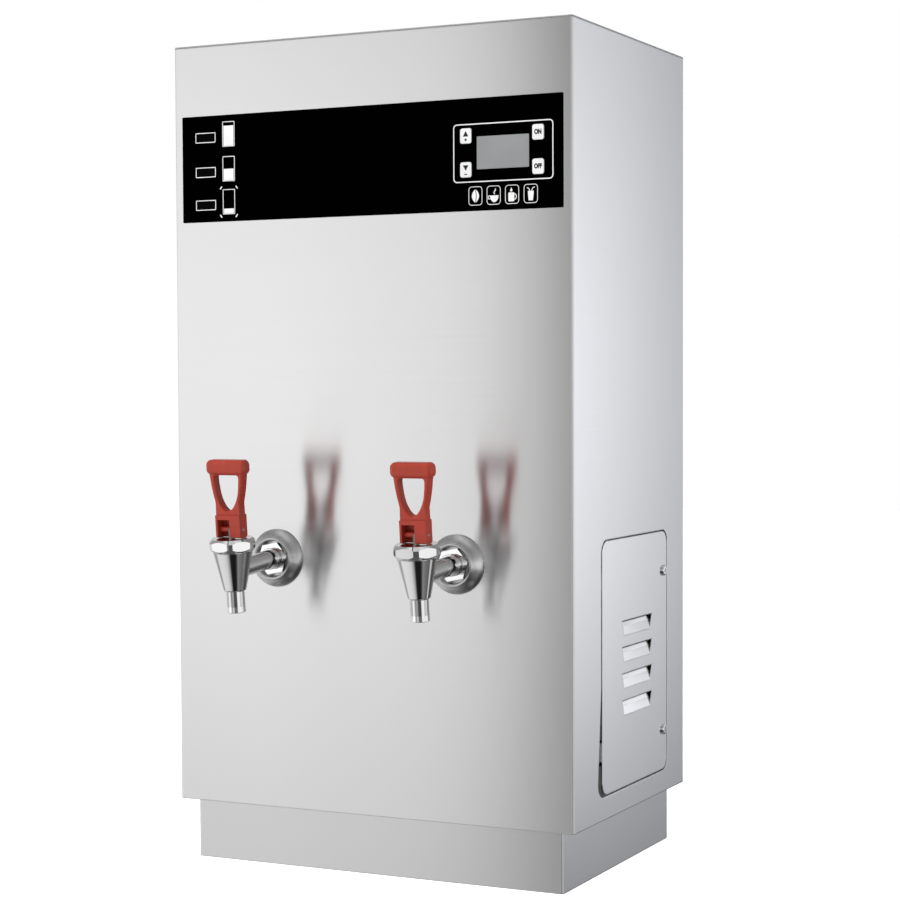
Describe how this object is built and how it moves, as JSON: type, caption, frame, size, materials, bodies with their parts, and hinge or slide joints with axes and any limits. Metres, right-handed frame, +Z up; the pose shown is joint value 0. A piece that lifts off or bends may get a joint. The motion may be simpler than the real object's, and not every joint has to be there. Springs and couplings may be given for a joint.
{
  "type": "hot water urn",
  "caption": "Tall stainless water boiler cabinet on a plinth, with lever taps on the front, a keyed control panel with a display, and a louvred service cover on one side.",
  "frame": {"origin": "middle of the plinth's underside, on the surface the urn stands on", "axes": "+Z up, the tap side faces -Y, the service cover is on the +X side"},
  "size_m": [0.4523, 0.4399, 0.85],
  "materials": {
    "brushed_stainless": "brushed along the sheet",
    "plain_stainless": "plain mill finish",
    "screw_steel": "satin",
    "black_panel": "gloss black overlay",
    "display_grey": "clear window over a grey display",
    "lamp_lens": "smoked lens",
    "key_white": "satin white",
    "black_plastic": "matt moulded",
    "board_green": "solder mask",
    "cream_plastic": "matt moulded",
    "brass": "turned",
    "silicone": "matt silicone",
    "insulation": "closed-cell foam sheet",
    "chrome_plate": "bright plated",
    "escutcheon_steel": "spun, slightly satin",
    "spring_steel": "bright wire",
    "lever_red": "moulded gloss red"
  },
  "bodies": {
    "cabinet": {"back_panel": "brushed_stainless", "cabinet_wrap": "brushed_stainless", "cable_gland": "black_plastic", "contactor": "black_plastic", "control_board": "board_green", "control_housing": "black_plastic", "control_overlay": "black_panel", "cover_nuts": "screw_steel", "display_module": "black_plastic", "display_window": "display_grey", "drain_cap": "black_plastic", "drain_pipe": "plain_stainless", "escutcheon_left": "escutcheon_steel", "escutcheon_right": "escutcheon_steel", "feed_pipe_left": "silicone", "feed_pipe_right": "silicone", "fill_pipe": "silicone", "floor_pan": "brushed_stainless", "heating_element": "plain_stainless", "indicator_board": "board_green", "indicator_lenses": "lamp_lens", "inlet_fitting": "brass", "inlet_valve": "black_plastic", "insulation_jacket": "insulation", "level_probes": "plain_stainless", "lid_bolts": "screw_steel", "panel_screws": "screw_steel", "plinth_tray": "brushed_stainless", "service_ledge": "brushed_stainless", "shank_nuts": "chrome_plate", "shank_washers": "silicone", "tact_switches": "black_plastic", "tank_gasket": "silicone", "tank_lid": "plain_stainless", "tank_stand": "plain_stainless", "tap_body_left": "chrome_plate", "tap_body_right": "chrome_plate", "tap_bonnet_left": "chrome_plate", "tap_bonnet_right": "chrome_plate", "tap_spring_left": "spring_steel", "tap_spring_right": "spring_steel", "temperature_probe": "plain_stainless", "terminal_block": "cream_plastic", "top_cover": "brushed_stainless", "vent_pipe": "plain_stainless", "water_tank": "plain_stainless"},
    "service_cover": {"service_cover": "brushed_stainless", "cover_screws": "screw_steel"},
    "key_up": {"key_up": "key_white"},
    "key_down": {"key_down": "key_white"},
    "key_on": {"key_on": "key_white"},
    "key_off": {"key_off": "key_white"},
    "stem_left": {"tap_stem_left": "chrome_plate", "tap_seat_cup_left": "silicone", "lever_pin_left": "spring_steel"},
    "lever_left": {"lever_left": "lever_red"},
    "stem_right": {"tap_stem_right": "chrome_plate", "tap_seat_cup_right": "silicone", "lever_pin_right": "spring_steel"},
    "lever_right": {"lever_right": "lever_red"}
  },
  "joints": [
    {"name": "service_cover_swing", "type": "hinge", "parent": "cabinet", "child": "service_cover", "pos_m": [0.223, -0.0845, 0.2137], "axis": [0, 0, -1], "range_deg": [0, 35]},
    {"name": "key_up_press", "type": "slide", "parent": "cabinet", "child": "key_up", "axis": [0, 1, 0], "range_m": [0, 0.0004], "stiffness_N_per_m": 800, "springref_m": -0.0005},
    {"name": "key_down_press", "type": "slide", "parent": "cabinet", "child": "key_down", "axis": [0, 1, 0], "range_m": [0, 0.0004], "stiffness_N_per_m": 800, "springref_m": -0.0005},
    {"name": "key_on_press", "type": "slide", "parent": "cabinet", "child": "key_on", "axis": [0, 1, 0], "range_m": [0, 0.0004], "stiffness_N_per_m": 800, "springref_m": -0.0005},
    {"name": "key_off_press", "type": "slide", "parent": "cabinet", "child": "key_off", "axis": [0, 1, 0], "range_m": [0, 0.0004], "stiffness_N_per_m": 800, "springref_m": -0.0005},
    {"name": "stem_left_lift", "type": "slide", "parent": "cabinet", "child": "stem_left", "axis": [0, -0.0958, 0.9954], "range_m": [0, 0.00136], "deforming": ["tap_spring_left"]},
    {"name": "lever_left_pull", "type": "hinge", "parent": "stem_left", "child": "lever_left", "pos_m": [-0.105, -0.24368, 0.35539], "axis": [1, 0, 0], "range_deg": [0, 30], "stiffness_Nm_per_rad": 0.03, "springref_deg": -45.84},
    {"name": "stem_right_lift", "type": "slide", "parent": "cabinet", "child": "stem_right", "axis": [0, -0.0958, 0.9954], "range_m": [0, 0.00136], "deforming": ["tap_spring_right"]},
    {"name": "lever_right_pull", "type": "hinge", "parent": "stem_right", "child": "lever_right", "pos_m": [0.1, -0.24368, 0.35539], "axis": [1, 0, 0], "range_deg": [0, 30], "stiffness_Nm_per_rad": 0.03, "springref_deg": -45.84}
  ],
  "couplings": [
    {"joint": "stem_left_lift", "follows": "lever_left_pull", "m_per_rad": 0.0025783},
    {"joint": "stem_right_lift", "follows": "lever_right_pull", "m_per_rad": 0.0025783}
  ]
}
